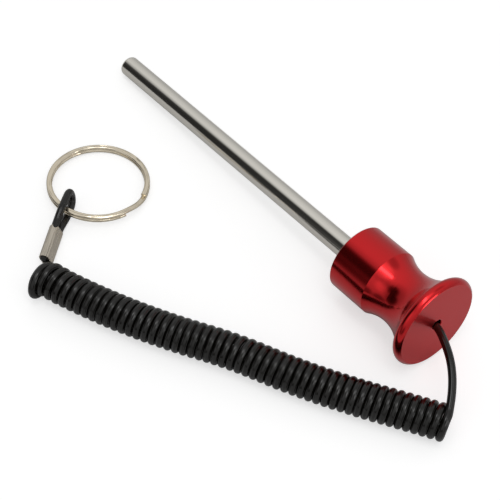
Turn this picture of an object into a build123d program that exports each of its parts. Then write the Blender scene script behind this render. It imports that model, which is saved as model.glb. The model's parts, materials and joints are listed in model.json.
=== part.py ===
from build123d import *

import os
from math import asin, atan2, cos, degrees, hypot, pi, radians, sin, tan

# A weight stack pin as it lies on a table: a plated steel rod pressed into a turned, red anodised
# knob, and a curly lanyard cord that leaves the knob's end face, is crimped into a small loop at
# its far end and holds a split ring there.
# Millimetres, Z up. X runs from the rod's tip to the knob, Z is zero on the table, and the
# origin lies on the table under the middle of the rod and knob.

# Rod
rod_diameter = 9.525
rod_reach = 161.2  # from the tip to the knob's front face
rod_seat = 20.0  # depth of the rod inside the knob
seat_diameter = 9.0  # the rod is turned down where it is pressed in
tip_round = 1.2
root_chamfer = 0.5
seat_clearance = 0.02  # of the rod in its bore, all round

# Knob, turned from one bar; lengths run from its front face
knob_length = 48.1
barrel_diameter = 30.4
barrel_length = 19.4
barrel_edge = 0.4
bore_mouth = 0.6  # chamfer where the rod goes in
neck_diameter = 25.3
neck_behind_barrel = 9.7
flange_diameter = 42.3
flange_thickness = 4.8
flange_root_diameter = 38.1
rim_drop = 1.5  # of the crowned rim, from its middle to either edge
throat_diameter = 4.8
throat_lip = 0.5

# Crimped stop that keeps the cord in the knob, free to turn in its pocket
stop_diameter = 7.0
stop_length = 8.0
stop_gap = 0.3  # from the stop to the pocket's shoulder
stop_play = 2.7  # from the stop to the rod's root
pocket_clearance = 0.5  # around the stop

# Cord and coil
cord_diameter = 3.4
coil_diameter = 15.6
crimp_clearance = 0.02  # of the cord in the stop and the sleeve, all round

# Crimp sleeve: two barrels side by side, the second one rolled up beside the first
sleeve_length = 17.1
sleeve_wall = 0.5
sleeve_edge = 0.15
barrel_spacing = 3.5
barrel_roll = 69.0  # degrees from lying flat to standing on edge
sleeve_mouth = (-44.21, -83.65)  # the lower barrel's mouth at the loop
sleeve_heading = 129.5  # degrees, from the coil towards the loop

# Split ring: one wire of two turns with a joggle between them
ring_diameter = 46.1
wire_width = 2.5
wire_height = 1.5
wire_corner = 0.7
turn_gap = 0.08
joggle_from = -3.7  # degrees, where the wire leaves its upper turn
joggle_to = 30.5  # degrees, where it reaches its lower turn
joggle_sections = 7
ring_hinge = (-49.2, -74.6)  # where the loop holds the ring
ring_bearing = -73.4  # degrees, from the ring's centre to that place

# The cord's route, by hand. Inside the knob: distance behind the front face, and across.
end_route = [(31.5, 0.0), (38.5, 0.3), (43.5, 0.2), (46.2, -0.15), (48.1, -0.62)]
# From the knob down into the top of the coil's last turn.
lead_first_run = 3.4
lead_route = [
    (112.6, -4.05, 21.75),
    (119.0, -7.3, 20.9),
    (124.8, -11.5, 19.0),
    (129.6, -16.2, 16.4),
    (133.2, -20.7, 13.9),
    (135.6, -24.4, 11.6),
]
# The coil's centre line on the table.
coil_route = [
    (-28.3, -105.6),
    (-15.7, -101.5),
    (8.7, -91.5),
    (32.2, -79.6),
    (54.7, -65.8),
    (78.8, -55.1),
    (101.9, -42.4),
    (124.2, -28.3),
    (135.5, -21.5),
]
# From the coil through the sleeve, under the ring, round and back: distance along the sleeve's
# heading from its mouth, distance across to the left of it, and height.
strand_low = 1.72
strand_high = 8.9
barrel_low = 2.22
loop_out = [
    (-28.8, 0.4, 2.0),
    (-18.6, 0.0, barrel_low),
    (1.8, 0.0, barrel_low),
    (6.5, -1.3, strand_low),
    (12.6, -1.9, strand_low),
    (19.4, -1.3, strand_low),
]
loop_back = [
    (19.4, -0.6, strand_high),
    (12.6, -0.1, strand_high),
    (8.0, 0.2, strand_high),
]
tail_bend = 2.0  # along the sleeve's heading, where the tail turns into its barrel
tail_stub = 0.5  # of the cut tail, past the sleeve's other mouth
arc_share = 0.45  # of the shorter run, spent on each bend of a cord

# Worked out from the sizes above
rod_radius = rod_diameter / 2
cord_radius = cord_diameter / 2
seat_radius = seat_diameter / 2
bore_radius = seat_radius + seat_clearance
pocket_radius = stop_diameter / 2 + pocket_clearance
pocket_end = rod_seat + stop_play + stop_length + stop_gap
stop_front = rod_seat + stop_play
flange_back = knob_length - flange_thickness
rim_edge_radius = flange_diameter / 2 - rim_drop
rim_arc = ((flange_thickness / 2) ** 2 + rim_drop**2) / (2 * rim_drop)
pin_length = rod_reach + knob_length

sleeve_bore = cord_radius + crimp_clearance
sleeve_radius = sleeve_bore + sleeve_wall
barrel_across = barrel_spacing * cos(radians(barrel_roll))
barrel_high = barrel_low + barrel_spacing * sin(radians(barrel_roll))

wire_level = (wire_height + turn_gap) / 2
wire_circle = (ring_diameter - wire_width) / 2
hinge_height = (strand_low + strand_high) / 2


def circle_pair_tilt(run: float, drop: float, extra: float) -> float:
    """Angle at which two circles, a run and a drop apart and unequal by extra, touch one line."""
    return atan2(drop, run) + asin(extra / hypot(run, drop))


# The pin rests on its rounded tip and on the crown of the knob's rim.
pin_tilt = circle_pair_tilt(
    pin_length - flange_thickness / 2 - tip_round,
    flange_diameter / 2 - rim_arc - rod_radius + tip_round,
    rim_arc - tip_round,
)
tip_height = (rod_radius - tip_round) * cos(pin_tilt) + tip_round - tip_round * sin(pin_tilt)
pin_front = (tip_round - rod_radius) * sin(pin_tilt) + tip_round * (cos(pin_tilt) - 1)
pin_back = pin_length * cos(pin_tilt) + rim_edge_radius * sin(pin_tilt)
tip_place = -(pin_front + pin_back) / 2
pin_place = Location((tip_place, 0, tip_height), (0, -degrees(pin_tilt), 0))
knob_place = pin_place * Location((rod_reach, 0, 0))

# The ring rests on the table at its far side and on the loop at its hinge.
ring_fall = ring_diameter / 2 - wire_corner + wire_circle
ring_edge = wire_level + wire_height / 2 - wire_corner
ring_tilt = asin((hinge_height - wire_corner) / hypot(ring_fall, ring_edge))
ring_tilt -= atan2(ring_edge, ring_fall)

sleeve_place = Location((*sleeve_mouth, 0), (0, 0, sleeve_heading))


def make_rod() -> Part:
    """The plated rod: rounded tip at the origin, turned-down root inside the knob."""
    length = rod_reach + rod_seat
    corner = tip_round * (1 - cos(pi / 4))
    outline = [
        ThreePointArc(
            (0, rod_radius - tip_round), (corner, rod_radius - corner), (tip_round, rod_radius)
        ),
        Polyline(
            (tip_round, rod_radius),
            (rod_reach, rod_radius),
            (rod_reach + rod_radius - seat_radius, seat_radius),
            (length - root_chamfer, seat_radius),
            (length, seat_radius - root_chamfer),
            (length, 0),
            (0, 0),
            (0, rod_radius - tip_round),
        ),
    ]
    return revolve(make_face(outline), Axis.X)


def make_knob() -> Part:
    """The turned knob: barrel, waist and crowned flange outside; bore, pocket and throat inside."""
    barrel = barrel_diameter / 2
    neck = (barrel_length + neck_behind_barrel, neck_diameter / 2)
    root = (flange_back, flange_root_diameter / 2)
    rim_middle = (knob_length - flange_thickness / 2, flange_diameter / 2)
    throat = throat_diameter / 2
    lip = throat_lip * (1 - cos(pi / 4))
    outline = [
        Polyline(
            (bore_mouth, bore_radius),
            (0, bore_radius + bore_mouth),
            (0, barrel - barrel_edge),
            (barrel_edge, barrel),
            (barrel_length, barrel),
        ),
        TangentArc(neck, (barrel_length, barrel), tangent=(-1, 0)),
        TangentArc(neck, root, tangent=(1, 0)),
        Line(root, (flange_back, rim_edge_radius)),
        ThreePointArc(
            (flange_back, rim_edge_radius), rim_middle, (knob_length, rim_edge_radius)
        ),
        Line((knob_length, rim_edge_radius), (knob_length, throat + throat_lip)),
        ThreePointArc(
            (knob_length, throat + throat_lip),
            (knob_length - lip, throat + lip),
            (knob_length - throat_lip, throat),
        ),
        Polyline(
            (knob_length - throat_lip, throat),
            (pocket_end, throat),
            (pocket_end, pocket_radius),
            (rod_seat, pocket_radius),
            (rod_seat, bore_radius),
            (bore_mouth, bore_radius),
        ),
    ]
    return revolve(make_face(outline), Axis.X)


def make_stop() -> Part:
    """The crimped collar on the cord's end, lying in the knob's pocket."""
    across = Plane.YZ.offset(stop_front)
    return extrude(
        across * (Circle(stop_diameter / 2) - Circle(cord_radius + crimp_clearance)), stop_length
    )


def make_sleeve() -> Part:
    """The double crimp sleeve, its mouth at the loop in the sleeve frame's YZ plane."""
    middle = (0, barrel_across / 2, (barrel_low + barrel_high) / 2)
    section = Plane(middle, x_dir=(0, barrel_across, barrel_high - barrel_low), z_dir=(-1, 0, 0))
    shell = extrude(
        section * SlotCenterToCenter(barrel_spacing, 2 * sleeve_radius), sleeve_length
    )
    ends = shell.faces().sort_by(Axis.X)
    shell = fillet(ends[0].edges() + ends[-1].edges(), sleeve_edge)
    bore = extrude(section * SlotCenterToCenter(barrel_spacing, 2 * sleeve_bore), sleeve_length)
    return shell - bore


def wire_section(angle: float, level: float) -> Face:
    """The ring wire's rounded section at an angle round the ring and a height."""
    turned = Plane.XZ.rotated((0, 0, angle))
    return (turned * Location((wire_circle, level)) * RectangleRounded(
        wire_width, wire_height, wire_corner
    )).face()


def joggle_level(share: float) -> float:
    """Height of the wire's centre at a share of its way from the upper to the lower turn."""
    return wire_level * cos(pi * share)


def make_ring() -> Part:
    """The split ring about its own centre: two flat turns and the joggle that joins them."""
    swing = 360 - joggle_to + joggle_from
    shares = [i / (joggle_sections - 1) for i in range(joggle_sections)]
    joggle = loft([
        wire_section(joggle_from + (joggle_to - joggle_from) * share, joggle_level(share))
        for share in shares
    ])
    upper = revolve(wire_section(joggle_to, wire_level), Axis.Z, swing)
    lower = revolve(wire_section(joggle_to, -wire_level), Axis.Z, swing)
    return upper + joggle + lower


def place_ring(ring: Part) -> Part:
    """Tilts the ring about the place where the loop holds it, and sets it there."""
    bearing = radians(ring_bearing)
    arm = Vector(wire_circle * cos(bearing), wire_circle * sin(bearing), 0)
    hinge = Axis(tuple(arm), (sin(bearing), -cos(bearing), 0))
    tilted = ring.rotate(hinge, degrees(ring_tilt))
    return Pos(Vector(*ring_hinge, hinge_height) - arm) * tilted


def bend_radii(points: list[Vector]) -> list[float]:
    """The radius of each bend of a route, as large as its two runs allow."""
    radii = []
    for before, here, after in zip(points, points[1:], points[2:]):
        turn = radians((here - before).get_angle(after - here))
        shorter = min((here - before).length, (after - here).length)
        radii.append(arc_share * shorter / tan(turn / 2))
    return radii


def make_tube(name: str, points: list[Vector], diameter: float) -> Part:
    """A round tube along straight runs joined by arcs; prints its bends and its volume."""
    radii = bend_radii(points)
    path = FilletPolyline(*points, radius=radii)
    start = Plane(points[0], z_dir=points[1] - points[0])
    tube = sweep(start * Circle(diameter / 2), path=path)
    share = tube.volume / (pi * diameter**2 / 4 * path.length)
    print(name, "bend radii", [round(r, 1) for r in radii], "volume share", round(share, 4))
    return tube


def placed(place: Location, points: list[tuple]) -> list[Vector]:
    """Points of a local frame, moved to the whole object's frame."""
    return [(place * Pos(*point)).position for point in points]


def knob_cord_points() -> tuple[list[Vector], list[Vector]]:
    """The routes inside the knob and from its end face to the coil."""
    inside = placed(knob_place, [(stop_front, 0, 0)] + [(x, y, 0) for x, y in end_route])
    leaving = (inside[-1] - inside[-2]).normalized()
    lead = [inside[-1], inside[-1] + leaving * lead_first_run]
    return inside, lead + [Vector(*point) for point in lead_route]


def loop_points() -> list[Vector]:
    """The route out through the sleeve's lower barrel, round the ring and back."""
    tail = [
        (tail_bend, barrel_across, barrel_high),
        (-sleeve_length - tail_stub, barrel_across, barrel_high),
    ]
    return placed(sleeve_place, loop_out + loop_back + tail)


def build() -> dict[str, Part]:
    """Every piece of the object under its name."""
    inside, lead = knob_cord_points()
    coil = [Vector(x, y, coil_diameter / 2) for x, y in coil_route]
    return {
        "pin_rod": pin_place * make_rod(),
        "pull_knob": knob_place * make_knob(),
        "cord_stop": knob_place * make_stop(),
        "crimp_sleeve": sleeve_place * make_sleeve(),
        "split_ring": place_ring(make_ring()),
        "cord_end": make_tube("cord_end", inside, cord_diameter),
        "cord_lead": make_tube("cord_lead", lead, cord_diameter),
        "cord_coil": make_tube("cord_coil", coil, coil_diameter),
        "cord_loop": make_tube("cord_loop", loop_points(), cord_diameter),
    }


os.makedirs("parts", exist_ok=True)
for node, shape in build().items():
    export_step(shape, f"parts/{node}.step")
print("pin tilt", round(degrees(pin_tilt), 3), "ring tilt", round(degrees(ring_tilt), 3))
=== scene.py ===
import json
import logging
import math
from bisect import bisect_right
from collections.abc import Mapping
from dataclasses import dataclass, field
from enum import Enum
from itertools import accumulate, pairwise

import bpy
from mathutils import Matrix, Quaternion, Vector


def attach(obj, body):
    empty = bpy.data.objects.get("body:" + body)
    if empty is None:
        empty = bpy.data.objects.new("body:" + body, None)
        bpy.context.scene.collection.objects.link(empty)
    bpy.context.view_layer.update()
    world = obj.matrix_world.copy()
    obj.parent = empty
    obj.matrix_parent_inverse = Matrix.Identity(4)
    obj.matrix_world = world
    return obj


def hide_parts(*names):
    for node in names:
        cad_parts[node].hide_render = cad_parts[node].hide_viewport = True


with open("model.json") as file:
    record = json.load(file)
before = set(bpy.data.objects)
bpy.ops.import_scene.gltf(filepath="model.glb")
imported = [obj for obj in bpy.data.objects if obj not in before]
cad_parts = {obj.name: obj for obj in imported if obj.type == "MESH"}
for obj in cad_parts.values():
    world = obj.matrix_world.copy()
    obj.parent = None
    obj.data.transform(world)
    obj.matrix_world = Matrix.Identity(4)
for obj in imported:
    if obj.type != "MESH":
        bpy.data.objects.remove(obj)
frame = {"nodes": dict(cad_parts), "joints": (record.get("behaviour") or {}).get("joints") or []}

LOG = logging.getLogger("weight_stack_pin")
MM = 0.001


class Body(Enum):
    """The rigid bodies that the pieces ride on."""

    LANYARD = "lanyard"
    PIN = "pin"
    RING = "ring"


def linear(hex_colour: str) -> tuple[float, float, float, float]:
    """Turns an sRGB hex colour to linear light.

    Args:
        hex_colour: six hex digits after a hash sign.

    Returns:
        Red, green, blue and an alpha of one.
    """
    parts = [int(hex_colour[i:i + 2], 16) / 255 for i in (1, 3, 5)]
    light = [p / 12.92 if p <= 0.04045 else ((p + 0.055) / 1.055) ** 2.4 for p in parts]
    return (light[0], light[1], light[2], 1.0)


def add_node(
    tree: bpy.types.NodeTree,
    kind: str,
    inputs: Mapping[str | int, object] | None = None,
    **settings: object,
) -> bpy.types.Node:
    """Adds one node with its settings, values and links.

    Args:
        tree: the tree that the node goes into.
        kind: the node's type name.
        inputs: input names or numbers, each with a value or with the socket that feeds it.
        settings: properties of the node.

    Returns:
        The new node.
    """
    node = tree.nodes.new(kind)
    for name, value in settings.items():
        setattr(node, name, value)
    for name, value in (inputs or {}).items():
        if isinstance(value, bpy.types.NodeSocket):
            tree.links.new(value, node.inputs[name])
        else:
            node.inputs[name].default_value = value
    return node


def new_material(name: str) -> tuple[bpy.types.Material, bpy.types.NodeTree]:
    """Makes an empty node material.

    Args:
        name: the material's name.

    Returns:
        The material and its node tree.
    """
    material = bpy.data.materials.new(name)
    material.use_nodes = True
    material.node_tree.nodes.clear()
    return material, material.node_tree


@dataclass(frozen=True)
class PinAxis:
    """The pin's own axis, from the joint that lets the knob turn on its cord."""

    face: Vector
    along: Vector

    @classmethod
    def from_frame(cls) -> "PinAxis":
        """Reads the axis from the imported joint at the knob's end face."""
        joint = next(j for j in frame["joints"] if j["name"] == "knob_swivel")
        return cls(Vector(joint["pos_m"]), Vector(joint["axis"]).normalized())

    def place(self, behind: float, across: float) -> Vector:
        """Gives the point so many metres behind the end face and to the left of the axis."""
        return self.face - self.along * behind + Vector((0, across, 0))

    def local(self, tree: bpy.types.NodeTree) -> bpy.types.NodeSocket:
        """Gives shader coordinates along the pin, in metres, zero at the end face.

        Args:
            tree: the material's node tree.

        Returns:
            The vector output, with X along the pin and away from the rod's tip.
        """
        place = add_node(tree, "ShaderNodeTexCoord").outputs["Object"]
        tilt = math.atan2(self.along.z, self.along.x)
        turned = {"Vector": place, "Location": self.face, "Rotation": (0, -tilt, 0)}
        return add_node(tree, "ShaderNodeMapping", turned, vector_type="TEXTURE").outputs[0]


@dataclass(frozen=True)
class MetalLines:
    """Fine lines that working a metal leaves along it: they break up what it mirrors."""

    spacing: float
    length: float
    depth: float
    detail: float  # how many finer sets of lines lie among the main ones
    strength: float
    gloss: tuple[float, float]  # shares of the roughness in the smoothest and roughest lines

    def add_metal(
        self, tree: bpy.types.NodeTree, place: bpy.types.NodeSocket, colour: str, roughness: float
    ) -> None:
        """Adds the whole metal surface to a material.

        Args:
            tree: the material's node tree.
            place: coordinates in metres, with the lines along X.
            colour: the metal's sRGB hex colour.
            roughness: the metal's mean roughness.
        """
        scale = (1 / self.length, 1 / self.spacing, 1 / self.spacing)
        lines = add_node(tree, "ShaderNodeMapping", {"Vector": place, "Scale": scale})
        noise = add_node(
            tree, "ShaderNodeTexNoise",
            {"Vector": lines.outputs[0], "Scale": 1.0, "Detail": self.detail},
        )
        smoothest, roughest = self.gloss
        wear = add_node(
            tree, "ShaderNodeMapRange",
            {
                "Value": noise.outputs[0],
                "To Min": roughness * smoothest, "To Max": roughness * roughest,
            },
        )
        bump = add_node(
            tree, "ShaderNodeBump",
            {"Height": noise.outputs[0], "Distance": self.depth, "Strength": self.strength},
        )
        metal = add_node(
            tree, "ShaderNodeBsdfPrincipled",
            {
                "Base Color": linear(colour), "Metallic": 1.0,
                "Roughness": wear.outputs[0], "Normal": bump.outputs[0],
            },
        )
        add_node(tree, "ShaderNodeOutputMaterial", {"Surface": metal.outputs[0]})


@dataclass(frozen=True)
class PlatedSteel:
    """Bright zinc-plated steel bar, ground round: a near mirror with faint drag scratches."""

    axis: PinAxis
    colour: str = "#efebe2"
    roughness: float = 0.12
    # The scratches are drawn further apart than real grinding lines, so that they show.
    scratches: MetalLines = MetalLines(
        spacing=0.9 * MM, length=40 * MM, depth=0.004 * MM,
        detail=4.0, strength=0.6, gloss=(0.8, 1.3),
    )

    def material(self) -> bpy.types.Material:
        """Builds the plate with its scratches along the bar.

        Returns:
            The rod's material.
        """
        material, tree = new_material("zinc_plated_steel")
        self.scratches.add_metal(tree, self.axis.local(tree), self.colour, self.roughness)
        return material


@dataclass(frozen=True)
class AnodisedAluminium:
    """Aluminium turned on a lathe and anodised red: dyed clear oxide over a mirror-like metal.

    The oxide adds a white gloss over the red metal, and the faced end is more matt than the
    polished sides.
    """

    axis: PinAxis
    colour: str = "#dc1018"
    polished_roughness: float = 0.17
    faced_roughness: float = 0.38
    polish_ends: float = -0.06 * MM  # along the pin, from the end face
    facing_starts: float = -0.02 * MM
    coat: float = 0.6
    coat_roughness: float = 0.12
    feed: float = 0.45 * MM  # a real feed of 0.1 mm is too fine to show, so it is drawn coarser
    groove: float = 0.0016 * MM
    groove_detail: float = 3.0

    def material(self) -> bpy.types.Material:
        """Builds the dyed metal with its turning marks and the two roughnesses.

        The marks follow the way along the pin plus the way out from its axis, so that they run
        round the sides and round the end face.

        Returns:
            The knob's material.
        """
        material, tree = new_material("red_anodised_aluminium")
        along, left, up = add_node(
            tree, "ShaderNodeSeparateXYZ", {0: self.axis.local(tree)}
        ).outputs
        squares = [
            add_node(tree, "ShaderNodeMath", {0: side, 1: side}, operation="MULTIPLY").outputs[0]
            for side in (left, up)
        ]
        square = add_node(tree, "ShaderNodeMath", {0: squares[0], 1: squares[1]}, operation="ADD")
        out = add_node(tree, "ShaderNodeMath", {0: square.outputs[0]}, operation="SQRT")
        travel = add_node(
            tree, "ShaderNodeMath", {0: along, 1: out.outputs[0]}, operation="ADD"
        )
        marks = add_node(
            tree, "ShaderNodeTexNoise",
            {"W": travel.outputs[0], "Scale": 1 / self.feed, "Detail": self.groove_detail},
            noise_dimensions="1D",
        )
        bump = add_node(
            tree, "ShaderNodeBump", {"Height": marks.outputs[0], "Distance": self.groove}
        )
        faced = add_node(
            tree, "ShaderNodeMapRange",
            {
                "Value": along, "From Min": self.polish_ends, "From Max": self.facing_starts,
                "To Min": self.polished_roughness, "To Max": self.faced_roughness,
            },
        )
        metal = add_node(
            tree, "ShaderNodeBsdfPrincipled",
            {
                "Base Color": linear(self.colour), "Metallic": 1.0,
                "Roughness": faced.outputs[0], "Normal": bump.outputs[0],
                "Coat Weight": self.coat, "Coat Roughness": self.coat_roughness,
                "Coat Normal": bump.outputs[0],
            },
        )
        add_node(tree, "ShaderNodeOutputMaterial", {"Surface": metal.outputs[0]})
        return material


@dataclass(frozen=True)
class DrawnAluminium:
    """Bare aluminium tube, drawn and crimped: satin, with fine lines along the tube."""

    heading: float  # of the tube, in radians from +X towards +Y
    colour: str = "#d3cabb"
    roughness: float = 0.28
    # The lines are drawn further apart and deeper than real drawing lines, so that they show.
    lines: MetalLines = MetalLines(
        spacing=0.6 * MM, length=25 * MM, depth=0.7 * MM,
        detail=2.0, strength=1.0, gloss=(0.8, 1.2),
    )

    def material(self) -> bpy.types.Material:
        """Builds the satin metal with its drawing lines along the tube.

        Returns:
            The material of the sleeve and of the cord's stop.
        """
        material, tree = new_material("drawn_aluminium")
        place = add_node(tree, "ShaderNodeTexCoord").outputs["Object"]
        turned = add_node(
            tree, "ShaderNodeMapping", {"Vector": place, "Rotation": (0, 0, self.heading)},
            vector_type="TEXTURE",
        )
        self.lines.add_metal(tree, turned.outputs[0], self.colour, self.roughness)
        return material


@dataclass(frozen=True)
class NickelPlate:
    """Spring-steel wire, rolled flat and nickel plated: a warm mirror with lines along it."""

    centre: Vector
    colour: str = "#f0e4cd"
    roughness: float = 0.05
    line_spacing: float = 0.7 * MM  # drawn coarser than real rolling lines, so that they show
    line_length: float = 9.0 * MM
    line_depth: float = 0.6 * MM
    line_detail: float = 1.0

    def material(self) -> bpy.types.Material:
        """Builds the warm plate over the lines that rolling leaves along the wire.

        The lines run round the ring: they change fast with the distance from its centre, and
        slowly with the place on it.

        Returns:
            The ring's material.
        """
        material, tree = new_material("nickel_plated_spring_steel")
        place = add_node(tree, "ShaderNodeTexCoord").outputs["Object"]
        local = add_node(
            tree, "ShaderNodeVectorMath", {0: place, 1: self.centre}, operation="SUBTRACT"
        )
        flat = add_node(
            tree, "ShaderNodeVectorMath", {0: local.outputs[0], 1: (1.0, 1.0, 0.0)},
            operation="MULTIPLY",
        )
        out = add_node(
            tree, "ShaderNodeVectorMath", {0: flat.outputs[0]}, operation="LENGTH"
        ).outputs["Value"]
        turns = add_node(
            tree, "ShaderNodeVectorMath", {0: flat.outputs[0], "Scale": 1 / self.line_length},
            operation="SCALE",
        )
        across = add_node(
            tree, "ShaderNodeMath", {0: out, 1: 1 / self.line_spacing}, operation="MULTIPLY"
        )
        lines = add_node(
            tree, "ShaderNodeTexNoise",
            {
                "Vector": turns.outputs[0], "W": across.outputs[0],
                "Scale": 1.0, "Detail": self.line_detail,
            },
            noise_dimensions="4D",
        )
        bump = add_node(
            tree, "ShaderNodeBump", {"Height": lines.outputs[0], "Distance": self.line_depth}
        )
        metal = add_node(
            tree, "ShaderNodeBsdfPrincipled",
            {
                "Base Color": linear(self.colour), "Metallic": 1.0,
                "Roughness": self.roughness, "Normal": bump.outputs[0],
            },
        )
        add_node(tree, "ShaderNodeOutputMaterial", {"Surface": metal.outputs[0]})
        return material


@dataclass(frozen=True)
class CordPlastic:
    """Black polyurethane, extruded over the cord's core: a deep gloss with fine die lines."""

    colour: str = "#0b0906"
    roughness: float = 0.045
    ior: float = 1.52
    lines: int = 12  # 0.9 mm apart: drawn coarser than real die lines, so that they show
    line_depth: float = 0.05 * MM
    gloss: tuple[float, float] = (0.85, 1.2)  # shares of the roughness between and on the lines

    def material(self) -> bpy.types.Material:
        """Builds the black gloss with the die lines along the cord that split its highlights.

        Returns:
            The cord's material.
        """
        material, tree = new_material("extruded_polyurethane")
        # The cord's own coordinates run round it in Y, from zero to one.
        place = add_node(tree, "ShaderNodeTexCoord").outputs["UV"]
        around = add_node(tree, "ShaderNodeSeparateXYZ", {0: place}).outputs["Y"]
        turn = add_node(
            tree, "ShaderNodeMath", {0: around, 1: 2 * math.pi * self.lines}, operation="MULTIPLY"
        )
        ripple = add_node(tree, "ShaderNodeMath", {0: turn.outputs[0]}, operation="SINE")
        bump = add_node(
            tree, "ShaderNodeBump", {"Height": ripple.outputs[0], "Distance": self.line_depth}
        )
        smoothest, roughest = self.gloss
        gloss = add_node(
            tree, "ShaderNodeMapRange",
            {
                "Value": ripple.outputs[0], "From Min": -1.0,
                "To Min": self.roughness * smoothest, "To Max": self.roughness * roughest,
            },
        )
        plastic = add_node(
            tree, "ShaderNodeBsdfPrincipled",
            {
                "Base Color": linear(self.colour), "Roughness": gloss.outputs[0],
                "Normal": bump.outputs[0], "IOR": self.ior,
            },
        )
        add_node(tree, "ShaderNodeOutputMaterial", {"Surface": plastic.outputs[0]})
        return material


@dataclass(frozen=True)
class MattBoard:
    """White painted board: it scatters light evenly, so it shows a soft shadow and no gloss."""

    colour: str = "#cacaca"
    glow: float = 0.6  # added for the camera alone, so that the board looks white

    def material(self) -> bpy.types.Material:
        """Builds the matt white of the board.

        Returns:
            The table's material.
        """
        material, tree = new_material("matt_white_board")
        board = add_node(tree, "ShaderNodeBsdfDiffuse", {"Color": linear(self.colour)})
        path = add_node(tree, "ShaderNodeLightPath")
        glow = add_node(
            tree, "ShaderNodeMath", {0: path.outputs["Is Camera Ray"], 1: self.glow},
            operation="MULTIPLY",
        )
        lift = add_node(tree, "ShaderNodeEmission", {"Strength": glow.outputs[0]})
        both = add_node(tree, "ShaderNodeAddShader", {0: board.outputs[0], 1: lift.outputs[0]})
        add_node(tree, "ShaderNodeOutputMaterial", {"Surface": both.outputs[0]})
        return material


def dress(node: str, body: Body, material: bpy.types.Material) -> None:
    """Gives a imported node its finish.

    Args:
        node: the node's name.
        body: the body that it rides on.
        material: the finish for all its faces.
    """
    finishes = frame["nodes"][node].data.materials
    finishes.clear()
    finishes.append(material)
    LOG.info("%s on body %s: dressed in %s", node, body.value, material.name)


@dataclass
class SelectorPin:
    """The plated rod and the turned knob that it is pressed into."""

    axis: PinAxis
    rod: str = "pin_rod"
    knob: str = "pull_knob"

    def dress(self) -> None:
        """Gives the rod and the knob their finishes."""
        dress(self.rod, Body.PIN, PlatedSteel(self.axis).material())
        dress(self.knob, Body.PIN, AnodisedAluminium(self.axis).material())


@dataclass
class CordRoute:
    """The cord's route: from inside the knob, down to the coil, and round the ring.

    Its sizes and points are in millimetres and degrees. Its methods give points in metres.
    """

    axis: PinAxis
    knob_length: float = 48.1
    sleeve_mouth: tuple[float, float] = (-44.21, -83.65)  # the lower barrel's mouth at the loop
    sleeve_heading: float = 129.5  # from the coil towards the loop
    sleeve_length: float = 17.1
    barrel_spacing: float = 3.5
    barrel_roll: float = 69.0  # from lying flat to standing on edge
    barrel_low: float = 2.22
    strand_low: float = 1.72
    strand_high: float = 8.9
    tail_bend: float = 2.0  # along the sleeve's heading, where the tail turns into its barrel
    tail_stub: float = 0.5  # of the cut tail, past the sleeve's other mouth
    coil_height: float = 7.8

    def inside_knob(self) -> list[Vector]:
        """Lists the points from the crimped stop to the knob's end face.

        Returns:
            Points by their place along the knob from its front, and left of its axis.
        """
        points = (
            (22.7, 0.0),
            (31.5, 0.0),
            (38.5, 0.3),
            (43.5, 0.2),
            (46.2, -0.15),
            (48.1, -0.62),
        )
        return [
            self.axis.place((self.knob_length - along) * MM, left * MM) for along, left in points
        ]

    def lead(self) -> list[Vector]:
        """Lists the points from the knob's end face down to the coil.

        Returns:
            Points that end where the coil's last turn has its top.
        """
        points = (
            (106.98, -1.44, 21.54),
            (112.6, -4.05, 21.75),
            (119.0, -7.3, 20.9),
            (124.8, -11.5, 19.0),
            (129.6, -16.2, 16.4),
            (133.2, -20.7, 13.9),
        )
        return [Vector(point) * MM for point in points]

    def coil_axis(self) -> list[Vector]:
        """Lists the points of the coil's centre line.

        Returns:
            Points from the sleeve's end to the knob's end.
        """
        points = (
            (-28.3, -105.6),
            (-15.7, -101.5),
            (8.7, -91.5),
            (32.2, -79.6),
            (54.7, -65.8),
            (78.8, -55.1),
            (101.9, -42.4),
            (124.2, -28.3),
            (135.5, -21.5),
        )
        return [Vector((x, y, self.coil_height)) * MM for x, y in points]

    def at_sleeve(self, along: float, left: float, height: float) -> Vector:
        """Gives the point so far past the sleeve's mouth, to its left and above the table."""
        turn = Matrix.Rotation(math.radians(self.sleeve_heading), 3, "Z")
        return (turn @ Vector((along, left, height)) + Vector((*self.sleeve_mouth, 0))) * MM

    def loop(self) -> list[Vector]:
        """Lists the points from the coil through the sleeve and round the ring.

        Returns:
            Points that come back through the sleeve to the cord's cut tail.
        """
        roll = math.radians(self.barrel_roll)
        tail_left = self.barrel_spacing * math.cos(roll)
        tail_height = self.barrel_low + self.barrel_spacing * math.sin(roll)
        points = (
            (-18.6, 0.0, self.barrel_low),
            (1.8, 0.0, self.barrel_low),
            (6.5, -0.8, self.strand_low),
            (12.6, -1.6, self.strand_low),
            (19.4, -1.3, self.strand_low),
            (19.4, -0.6, self.strand_high),
            (12.6, -0.1, self.strand_high),
            (8.0, 0.2, self.strand_high),
            (self.tail_bend, tail_left, tail_height),
            (-self.sleeve_length - self.tail_stub, tail_left, tail_height),
        )
        return [self.at_sleeve(*point) for point in points]


def nurbs_curve(name: str, points: list[Vector], resolution: int) -> bpy.types.Object:
    """Makes a smooth curve object with one open spline.

    Args:
        name: the object's name.
        points: the spline's control points.
        resolution: how many steps each of its spans has.

    Returns:
        The curve object, not yet in the scene.
    """
    curve = bpy.data.curves.new(name, "CURVE")
    curve.dimensions = "3D"
    spline = curve.splines.new("NURBS")
    spline.points.add(len(points) - 1)
    for knot, point in zip(spline.points, points):
        knot.co = (*point, 1.0)
    spline.order_u = 3  # arcs that touch each leg between two points in its middle
    spline.use_endpoint_u = True
    spline.resolution_u = resolution
    return bpy.data.objects.new(name, curve)


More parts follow.
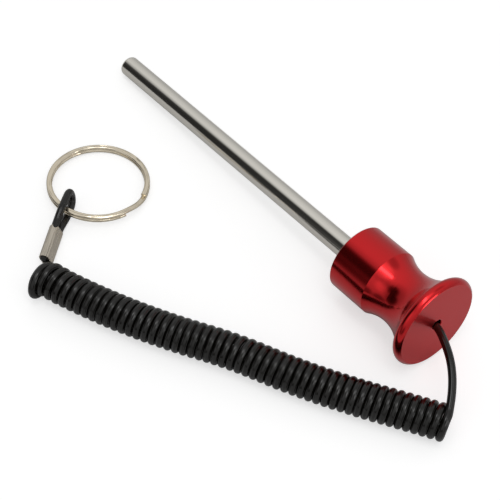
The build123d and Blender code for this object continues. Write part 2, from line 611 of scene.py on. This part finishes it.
def curve_line(points: list[Vector], resolution: int = 24) -> list[Vector]:
    """Reads the smooth line that a route's control points give.

    Args:
        points: the route's control points.
        resolution: how many steps each span of the line has.

    Returns:
        Points along the line.
    """
    bare = nurbs_curve("route", points, resolution)
    mesh = bpy.data.meshes.new_from_object(bare)
    line = [vertex.co.copy() for vertex in mesh.vertices]
    curve = bare.data
    bpy.data.objects.remove(bare)
    bpy.data.meshes.remove(mesh)
    bpy.data.curves.remove(curve)
    return line


@dataclass
class Line:
    """A line that can be asked for its point and direction at a distance along it."""

    points: list[Vector]
    along: list[float] = field(init=False)  # distance of each point from the first

    def __post_init__(self) -> None:
        """Adds up the distances along the line."""
        steps = ((after - before).length for before, after in pairwise(self.points))
        self.along = list(accumulate(steps, initial=0.0))

    def at(self, distance: float) -> tuple[Vector, Vector]:
        """Finds a place on the line.

        Args:
            distance: metres from the line's start.

        Returns:
            The point there and the line's direction.
        """
        reach = min(max(distance, 0.0), self.along[-1])
        index = bisect_right(self.along[:-1], reach) - 1
        step = self.points[index + 1] - self.points[index]
        share = (reach - self.along[index]) / step.length
        return self.points[index] + step * share, step.normalized()


@dataclass(frozen=True)
class Slip:
    """How far the cord has slipped from an even coil at one of its turns."""

    turn: float  # turns from the sleeve's end
    along: float  # millimetres along the coil, towards the knob
    out: float  # millimetres towards the viewer


@dataclass
class Lanyard:
    """The whole cord: a lead out of the knob, a left-handed coil and a crimped loop."""

    route: CordRoute
    diameter: float = 3.4 * MM
    coil_diameter: float = 15.6 * MM
    turns: float = 52.5
    turn_points: int = 14
    first_turn: float = 2.4 * MM  # from the start of the coil's axis to the cord's middle
    last_turn: float = 1.6 * MM  # from the cord's middle to the end of the coil's axis
    # The turns next to the sleeve are loose, and the others aren't quite evenly spaced.
    slips: tuple[Slip, ...] = (
        Slip(0.0, 1.9, 1.5),
        Slip(0.1, 1.8, 2.2),
        Slip(0.25, 1.5, 2.8),
        Slip(0.4, 0.1, 2.2),
        Slip(0.5, -0.4, 1.2),
        Slip(0.75, -0.2, 0.3),
        Slip(1.0, 0.0, 0.0),
        Slip(1.25, -0.4, -0.1),
        Slip(1.5, -0.7, -0.5),
        Slip(1.75, -0.2, -0.3),
        Slip(2.0, 0.2, 0.0),
        Slip(2.5, 0.1, -0.3),
        Slip(3.0, 0.5, 0.0),
        Slip(5.0, 0.7, 0.0),
        Slip(6.0, 1.0, 0.0),
        Slip(8.0, 1.2, 0.0),
        Slip(12.0, 1.1, 0.0),
        Slip(20.0, 0.8, 0.0),
        Slip(25.0, 0.8, 0.0),
        Slip(28.0, 1.25, 0.0),
        Slip(34.0, 1.35, 0.0),
        Slip(37.0, 1.1, 0.0),
        Slip(41.0, 0.85, 0.0),
        Slip(43.0, 0.45, 0.0),
        Slip(48.0, 0.25, 0.0),
        Slip(51.0, -0.05, 0.0),
        Slip(52.5, 0.2, 0.0),
    )
    spline_steps: int = 6  # along the cord, for each point of its route
    side_steps: int = 8  # round the cord, as the curve's bevel counts them

    def slipped(self, turn: float) -> tuple[float, float]:
        """Works out how far the cord has slipped at one place, between two rows of the list.

        Args:
            turn: turns from the sleeve's end.

        Returns:
            Metres along the coil's axis and towards the viewer.
        """
        before, after = next(
            (rows for rows in pairwise(self.slips) if turn <= rows[1].turn), self.slips[-2:]
        )
        share = min((turn - before.turn) / (after.turn - before.turn), 1.0)
        return (
            (before.along + (after.along - before.along) * share) * MM,
            (before.out + (after.out - before.out) * share) * MM,
        )

    def helix(self) -> list[Vector]:
        """Works out the points of the coil's turns.

        Returns:
            Points from the coil's top at the knob's end to its bottom at the sleeve's end.
        """
        axis = Line(curve_line(self.route.coil_axis()))
        count = round(self.turns * self.turn_points)
        # The smooth line reaches out to this share of its points' distance from the axis.
        bend_share = (3 + math.cos(2 * math.pi / self.turn_points)) / 4
        radius = (self.coil_diameter - self.diameter) / 2 / bend_share
        pitch = (axis.along[-1] - self.first_turn - self.last_turn) / self.turns
        points = []
        for i in range(count + 1):
            turn = self.turns * (1 - i / count)  # counted from the sleeve's end
            along, out = self.slipped(turn)
            middle, way = axis.at(self.first_turn + pitch * turn + along)
            angle = 2 * math.pi * turn - math.pi / 2  # from level, so that it starts at the bottom
            towards_viewer = Vector((way.y, -way.x, 0))
            offset = towards_viewer * math.cos(angle) + Vector((0, 0, 1)) * math.sin(angle)
            points.append(middle + offset * radius + towards_viewer * out)
        return points

    def build(self) -> None:
        """Makes the cord as one smooth tube and dresses it."""
        inside = self.route.inside_knob()
        points = inside + self.route.lead() + self.helix() + self.route.loop()
        cord = nurbs_curve("lanyard_cord", points, self.spline_steps)
        cord.data.bevel_depth = self.diameter / 2
        cord.data.bevel_resolution = self.side_steps
        cord.data.use_fill_caps = True
        bpy.context.scene.collection.objects.link(cord)
        cord.data.materials.append(CordPlastic().material())
        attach(cord, Body.LANYARD.value)
        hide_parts("cord_end", "cord_lead", "cord_coil", "cord_loop")
        length = Line(curve_line(points, self.spline_steps)).along[-1]
        LOG.info("%s on body %s: %.3f m of cord", cord.name, Body.LANYARD.value, length)


@dataclass
class RingEnd:
    """The crimp sleeve, the cord's stop and the split ring."""

    route: CordRoute
    sleeve: str = "crimp_sleeve"
    stop: str = "cord_stop"
    ring: str = "split_ring"

    def ring_centre(self) -> Vector:
        """Gives the middle of the ring's box, in the ring's own coordinates."""
        box = [Vector(corner) for corner in frame["nodes"][self.ring].bound_box]
        return sum(box, Vector()) / len(box)

    def dress(self) -> None:
        """Gives the metal pieces on the cord their finishes."""
        drawn = DrawnAluminium(math.radians(self.route.sleeve_heading)).material()
        dress(self.sleeve, Body.LANYARD, drawn)
        dress(self.stop, Body.LANYARD, drawn)
        dress(self.ring, Body.RING, NickelPlate(self.ring_centre()).material())


def direction(azimuth: float, elevation: float) -> Vector:
    """Gives a direction by its two angles.

    Args:
        azimuth: degrees from +X towards +Y.
        elevation: degrees above the table.

    Returns:
        The direction, one metre long.
    """
    turn, rise = math.radians(azimuth), math.radians(elevation)
    return Vector((
        math.cos(turn) * math.cos(rise), math.sin(turn) * math.cos(rise), math.sin(rise)
    ))


@dataclass(frozen=True)
class TentPatch:
    """A part of the tent that sends less light than the cloth around it, or more."""

    azimuth: float  # of its middle, in degrees as direction() takes them
    elevation: float
    core: float  # degrees from its middle to where it starts to fade
    reach: float  # degrees from its middle to where the tent is plain again
    loss: float  # share of the light that it takes away, or adds where it is below zero


@dataclass(frozen=True)
class SoftBox:
    """A lamp behind a flat cloth that faces the object."""

    name: str
    azimuth: float  # in degrees as direction() takes them
    elevation: float
    width: float
    length: float
    radiance: float  # of the cloth, where 1 looks white
    turn: float = 0.0  # degrees about its own direction
    distance: float = 1.2


@dataclass
class Studio:
    """A pale table in a white tent, with two soft boxes and patches that differ from the cloth."""

    target: tuple[float, float, float] = (14.59 * MM, -23.57 * MM, 0.0)
    azimuth: float = -40.478  # of the camera, in degrees as direction() takes them
    elevation: float = 52.446
    roll: float = 1.138  # degrees that the camera leans by
    distance: float = 0.638385  # of the camera from the target
    lens: float = 105.587  # focal length in millimetres
    nearest: float = 0.01  # that the camera sees
    farthest: float = 20.0
    table_near: float = -0.2  # the table's edge on the viewer's side
    table_left: float = -0.35
    table_far: float = 1.5
    tent_colour: str = "#ffffff"
    tent_low: float = 0.4  # light of the tent at the table's level
    tent_rise: float = 0.33  # what it gains up to the zenith
    patches: tuple[TentPatch, ...] = (
        TentPatch(-132, 12, 8, 22, 0.92),
        TentPatch(-136, 38, 8, 22, 0.92),
        TentPatch(-140, 30, 10, 42, 0.45),
        TentPatch(-93, 36, 8, 20, -0.32),
        TentPatch(-25, 76, 6, 30, -0.75),
        TentPatch(-100, -4, 6, 20, 0.7),
        TentPatch(-68, -4, 6, 20, 0.7),
        TentPatch(-100, 56, 4, 18, 0.3),
        TentPatch(-60, 56, 4, 18, 0.25),
        TentPatch(75, 56, 4, 20, 0.4),
    )
    boxes: tuple[SoftBox, ...] = (
        SoftBox("top_box", -22, 76, 0.22, 0.95, 2.5, turn=20),
        SoftBox("low_box", 14, 11, 0.42, 0.42, 2.3),
    )

    def add_camera(self) -> None:
        """Puts the camera at the photograph's angle and distance."""
        back = direction(self.azimuth, self.elevation)
        right = Vector((0, 0, 1)).cross(back).normalized()
        up = back.cross(right)
        lean = math.radians(self.roll)
        leaned_right = right * math.cos(lean) + up * math.sin(lean)
        leaned_up = up * math.cos(lean) - right * math.sin(lean)
        camera = bpy.data.objects.new("camera", bpy.data.cameras.new("camera"))
        camera.data.lens = self.lens
        camera.data.clip_start = self.nearest
        camera.data.clip_end = self.farthest
        place = Matrix((leaned_right, leaned_up, back)).transposed().to_4x4()
        place.translation = Vector(self.target) + back * self.distance
        camera.matrix_world = place
        bpy.context.scene.collection.objects.link(camera)
        bpy.context.scene.camera = camera

    def add_patch(
        self,
        tree: bpy.types.NodeTree,
        way: bpy.types.NodeSocket,
        light: bpy.types.NodeSocket,
        patch: TentPatch,
    ) -> bpy.types.NodeSocket:
        """Takes a patch's share off the tent's light.

        Args:
            tree: the world's node tree.
            way: the direction from which the light comes.
            light: the tent's light without the patch.
            patch: its place and strength.

        Returns:
            The tent's light with the patch.
        """
        centre = direction(patch.azimuth, patch.elevation)
        near = add_node(
            tree, "ShaderNodeVectorMath", {0: way, 1: centre}, operation="DOT_PRODUCT"
        )
        left = add_node(
            tree, "ShaderNodeMapRange",
            {
                "Value": near.outputs["Value"],
                "From Min": math.cos(math.radians(patch.reach)),
                "From Max": math.cos(math.radians(patch.core)),
                "To Min": 1.0, "To Max": 1 - patch.loss,
            },
            interpolation_type="SMOOTHSTEP",
        )
        return add_node(
            tree, "ShaderNodeMath", {0: light, 1: left.outputs[0]}, operation="MULTIPLY"
        ).outputs[0]

    def add_tent(self) -> None:
        """Lights the scene from the tent, which the camera itself sees as plain white."""
        world = bpy.data.worlds.new("tent")
        world.use_nodes = True
        tree = world.node_tree
        tree.nodes.clear()
        way = add_node(tree, "ShaderNodeTexCoord").outputs["Generated"]
        height = add_node(tree, "ShaderNodeSeparateXYZ", {0: way}).outputs["Z"]
        light = add_node(
            tree, "ShaderNodeMapRange",
            {"Value": height, "To Min": self.tent_low, "To Max": self.tent_low + self.tent_rise},
        ).outputs[0]
        for patch in self.patches:
            light = self.add_patch(tree, way, light, patch)
        seen = add_node(tree, "ShaderNodeLightPath").outputs["Is Camera Ray"]
        strength = add_node(
            tree, "ShaderNodeMix", {"Factor": seen, "A": light, "B": 1.0}, data_type="FLOAT"
        )
        tent = add_node(
            tree, "ShaderNodeBackground",
            {"Color": linear(self.tent_colour), "Strength": strength.outputs[0]},
        )
        add_node(tree, "ShaderNodeOutputWorld", {"Surface": tent.outputs[0]})
        bpy.context.scene.world = world

    def add_box(self, box: SoftBox) -> None:
        """Hangs one soft box.

        Args:
            box: its place, size and light.
        """
        lamp = bpy.data.lights.new(box.name, "AREA")
        lamp.shape = "RECTANGLE"
        lamp.size, lamp.size_y = box.width, box.length
        lamp.energy = box.radiance * math.pi * box.width * box.length
        hung = bpy.data.objects.new(box.name, lamp)
        way = direction(box.azimuth, box.elevation)
        hung.location = Vector(self.target) + way * box.distance
        hung.rotation_mode = "QUATERNION"
        turn = Quaternion((0, 0, 1), math.radians(box.turn))
        hung.rotation_quaternion = way.to_track_quat("Z", "Y") @ turn
        bpy.context.scene.collection.objects.link(hung)

    def add_table(self) -> None:
        """Lays a matt board that keeps the object's shadow."""
        mesh = bpy.data.meshes.new("table")
        corner_points = [
            (self.table_left, self.table_near, 0),
            (self.table_far, self.table_near, 0),
            (self.table_far, self.table_far, 0),
            (self.table_left, self.table_far, 0),
        ]
        mesh.from_pydata(corner_points, [], [(0, 1, 2, 3)])
        table = bpy.data.objects.new("table", mesh)
        bpy.context.scene.collection.objects.link(table)
        mesh.materials.append(MattBoard().material())

    def build(self) -> None:
        """Sets up the camera, the light and the table."""
        bpy.context.scene.view_settings.view_transform = "Standard"
        self.add_camera()
        self.add_tent()
        for box in self.boxes:
            self.add_box(box)
        self.add_table()


def main() -> None:
    """Builds the whole scene."""
    logging.basicConfig(level=logging.INFO, format="%(name)s: %(message)s")
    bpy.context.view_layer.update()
    Studio().build()
    axis = PinAxis.from_frame()
    route = CordRoute(axis)
    Lanyard(route).build()
    SelectorPin(axis).dress()
    RingEnd(route).dress()


if __name__ == "__main__":
    main()
